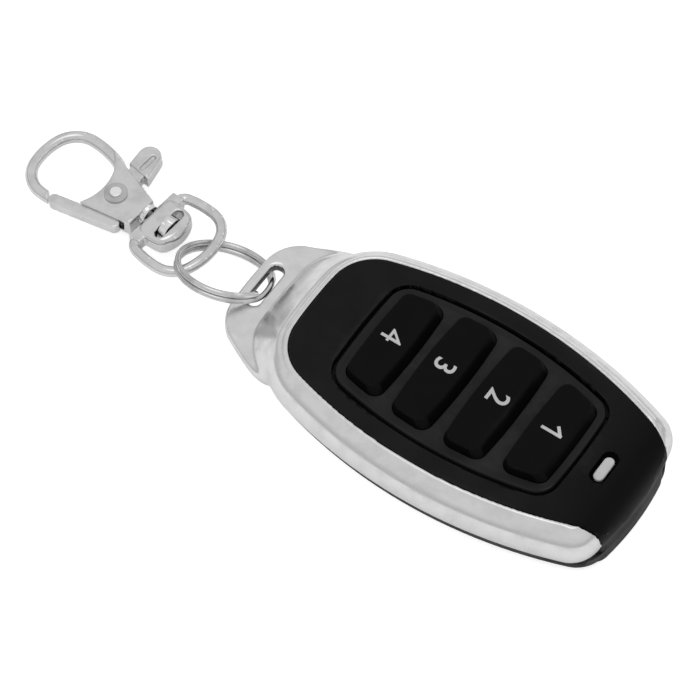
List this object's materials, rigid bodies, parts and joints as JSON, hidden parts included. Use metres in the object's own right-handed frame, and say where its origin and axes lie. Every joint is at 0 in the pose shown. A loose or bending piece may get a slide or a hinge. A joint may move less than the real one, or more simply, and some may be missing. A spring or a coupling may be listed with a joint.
{
  "type": "garage door remote",
  "caption": "Key fob style garage door remote with a chromed rim, press keys, indicator window, split ring and swivel lobster clasp.",
  "frame": {"origin": "centre of the flat back face of the housing, on the surface it lies on", "axes": "+X runs along the body towards the indicator end, away from the ring; +Y across the body; +Z out of the keys"},
  "size_m": [0.0957, 0.0316, 0.0108],
  "materials": {
    "polished_chrome": "polished chrome plating",
    "black_shell": "fine-textured black moulding",
    "black_silicone": "soft satin silicone",
    "gloss_key": "gloss black with pale printed numerals",
    "switch_plastic": "moulded",
    "light_pipe": "milky translucent",
    "green_board": "solder mask",
    "chip_resin": "moulded resin",
    "bright_steel": "plated spring steel"
  },
  "bodies": {
    "housing": {"metal_frame": "polished_chrome", "top_cover": "black_shell", "bottom_cover": "black_shell", "keypad_mat": "black_silicone", "led_window": "light_pipe", "circuit_board": "green_board", "switch_body_1": "switch_plastic", "switch_body_2": "switch_plastic", "switch_body_3": "switch_plastic", "switch_body_4": "switch_plastic", "indicator_led": "light_pipe", "encoder_chip": "chip_resin", "radio_resonator": "bright_steel", "tuning_coil": "chip_resin", "chip_passives": "chip_resin", "coin_cell": "bright_steel", "battery_clip": "bright_steel", "battery_contact": "bright_steel", "cover_screws": "bright_steel"},
    "key_1_body": {"key_1": "gloss_key"},
    "plunger_1_body": {"switch_plunger_1": "switch_plastic"},
    "key_2_body": {"key_2": "gloss_key"},
    "plunger_2_body": {"switch_plunger_2": "switch_plastic"},
    "key_3_body": {"key_3": "gloss_key"},
    "plunger_3_body": {"switch_plunger_3": "switch_plastic"},
    "key_4_body": {"key_4": "gloss_key"},
    "plunger_4_body": {"switch_plunger_4": "switch_plastic"},
    "ring": {"split_ring": "polished_chrome"},
    "bow": {"swivel_bow": "polished_chrome"},
    "hook": {"hook_body": "polished_chrome", "swivel_post": "polished_chrome", "gate_rivet": "polished_chrome"},
    "gate": {"gate_lever": "polished_chrome"}
  },
  "joints": [
    {"name": "key_1_press", "type": "slide", "parent": "housing", "child": "key_1_body", "axis": [0, 0, -1], "range_m": [0, 0.0003], "stiffness_N_per_m": 1500, "springref_m": -0.0002},
    {"name": "plunger_1_press", "type": "slide", "parent": "housing", "child": "plunger_1_body", "axis": [0, 0, -1], "range_m": [0, 0.0003]},
    {"name": "key_2_press", "type": "slide", "parent": "housing", "child": "key_2_body", "axis": [0, 0, -1], "range_m": [0, 0.0003], "stiffness_N_per_m": 1500, "springref_m": -0.0002},
    {"name": "plunger_2_press", "type": "slide", "parent": "housing", "child": "plunger_2_body", "axis": [0, 0, -1], "range_m": [0, 0.0003]},
    {"name": "key_3_press", "type": "slide", "parent": "housing", "child": "key_3_body", "axis": [0, 0, -1], "range_m": [0, 0.0003], "stiffness_N_per_m": 1500, "springref_m": -0.0002},
    {"name": "plunger_3_press", "type": "slide", "parent": "housing", "child": "plunger_3_body", "axis": [0, 0, -1], "range_m": [0, 0.0003]},
    {"name": "key_4_press", "type": "slide", "parent": "housing", "child": "key_4_body", "axis": [0, 0, -1], "range_m": [0, 0.0003], "stiffness_N_per_m": 1500, "springref_m": -0.0002},
    {"name": "plunger_4_press", "type": "slide", "parent": "housing", "child": "plunger_4_body", "axis": [0, 0, -1], "range_m": [0, 0.0003]},
    {"name": "ring_swing", "type": "hinge", "parent": "housing", "child": "ring", "pos_m": [-0.0286, -0.0004, 0.0041], "axis": [-0.1045, 0.9945, 0], "range_deg": [-30, 12]},
    {"name": "bow_swing", "type": "hinge", "parent": "ring", "child": "bow", "pos_m": [-0.0382, -0.001, 0.003], "axis": [0.1045, 0.9945, 0], "range_deg": [-40, 40]},
    {"name": "hook_swivel", "type": "hinge", "parent": "bow", "child": "hook", "pos_m": [-0.04603, 0.00157, 0.0028], "axis": [0.9922, -0.1043, 0.068], "continuous": true},
    {"name": "gate_open", "type": "hinge", "parent": "hook", "child": "gate", "pos_m": [-0.05216, 0.00151, 0.00238], "axis": [-0.0676, 0.0071, 0.9977], "range_deg": [-30, 0], "stiffness_Nm_per_rad": 0.012, "springref_deg": 20.05}
  ],
  "couplings": [
    {"joint": "plunger_1_press", "follows": "key_1_press", "ratio": 1},
    {"joint": "plunger_2_press", "follows": "key_2_press", "ratio": 1},
    {"joint": "plunger_3_press", "follows": "key_3_press", "ratio": 1},
    {"joint": "plunger_4_press", "follows": "key_4_press", "ratio": 1}
  ]
}
